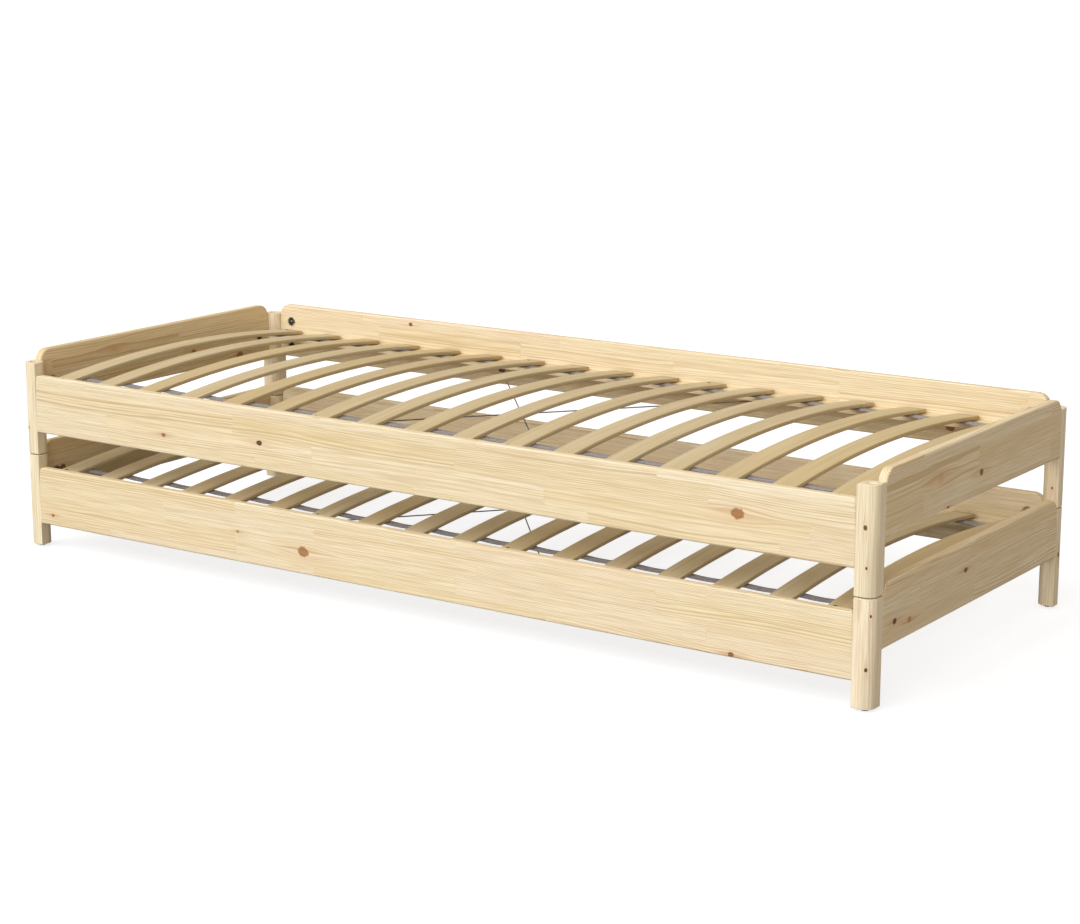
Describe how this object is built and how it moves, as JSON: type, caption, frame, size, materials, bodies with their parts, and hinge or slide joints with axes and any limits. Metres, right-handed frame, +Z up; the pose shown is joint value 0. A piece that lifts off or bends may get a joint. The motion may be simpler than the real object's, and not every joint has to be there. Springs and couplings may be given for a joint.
{
  "type": "stacking bed",
  "caption": "Pine single bed frame with arched slats and a low front rail, stored with an identical bed stood on top of it, each located by glides in leg recesses.",
  "frame": {"origin": "on the floor, under the centre of the lower bed", "axes": "+X along the length, -Y towards the side with the low front rail, +Z up"},
  "size_m": [2.05, 0.83, 0.4293],
  "materials": {
    "pine": "sanded, untreated knotty pine in finger-jointed blocks",
    "birch": "plain laminated birch, lightly sanded",
    "glide_plastic": "moulded, matt",
    "brace_wire": "drawn steel wire, dark",
    "webbing": "grey woven polyester tape",
    "zinc": "zinc plated fittings and screws"
  },
  "bodies": {
    "lower_bed": {"lower_leg_front_left": "pine", "lower_glide_front_left": "glide_plastic", "lower_leg_back_left": "pine", "lower_glide_back_left": "glide_plastic", "lower_leg_front_right": "pine", "lower_glide_front_right": "glide_plastic", "lower_leg_back_right": "pine", "lower_glide_back_right": "glide_plastic", "lower_front_rail": "pine", "lower_back_rail": "pine", "lower_end_board_left": "pine", "lower_end_board_right": "pine", "lower_slat_01": "birch", "lower_slat_02": "birch", "lower_slat_03": "birch", "lower_slat_04": "birch", "lower_slat_05": "birch", "lower_slat_06": "birch", "lower_slat_07": "birch", "lower_slat_08": "birch", "lower_slat_09": "birch", "lower_slat_10": "birch", "lower_slat_11": "birch", "lower_slat_12": "birch", "lower_slat_13": "birch", "lower_slat_14": "birch", "lower_slat_15": "birch", "lower_slat_16": "birch", "lower_slat_17": "birch", "lower_wire_brace": "brace_wire"},
    "upper_bed": {"upper_leg_front_left": "pine", "upper_glide_front_left": "glide_plastic", "upper_leg_back_left": "pine", "upper_glide_back_left": "glide_plastic", "upper_leg_front_right": "pine", "upper_glide_front_right": "glide_plastic", "upper_leg_back_right": "pine", "upper_glide_back_right": "glide_plastic", "upper_front_rail": "pine", "upper_back_rail": "pine", "upper_end_board_left": "pine", "upper_end_board_right": "pine", "upper_slat_01": "birch", "upper_slat_02": "birch", "upper_slat_03": "birch", "upper_slat_04": "birch", "upper_slat_05": "birch", "upper_slat_06": "birch", "upper_slat_07": "birch", "upper_slat_08": "birch", "upper_slat_09": "birch", "upper_slat_10": "birch", "upper_slat_11": "birch", "upper_slat_12": "birch", "upper_slat_13": "birch", "upper_slat_14": "birch", "upper_slat_15": "birch", "upper_slat_16": "birch", "upper_slat_17": "birch", "upper_wire_brace": "brace_wire"}
  },
  "joints": [
    {"name": "upper_bed_lift", "type": "slide", "parent": "lower_bed", "child": "upper_bed", "axis": [0, 0, 1], "range_m": [0, 0.25]}
  ]
}
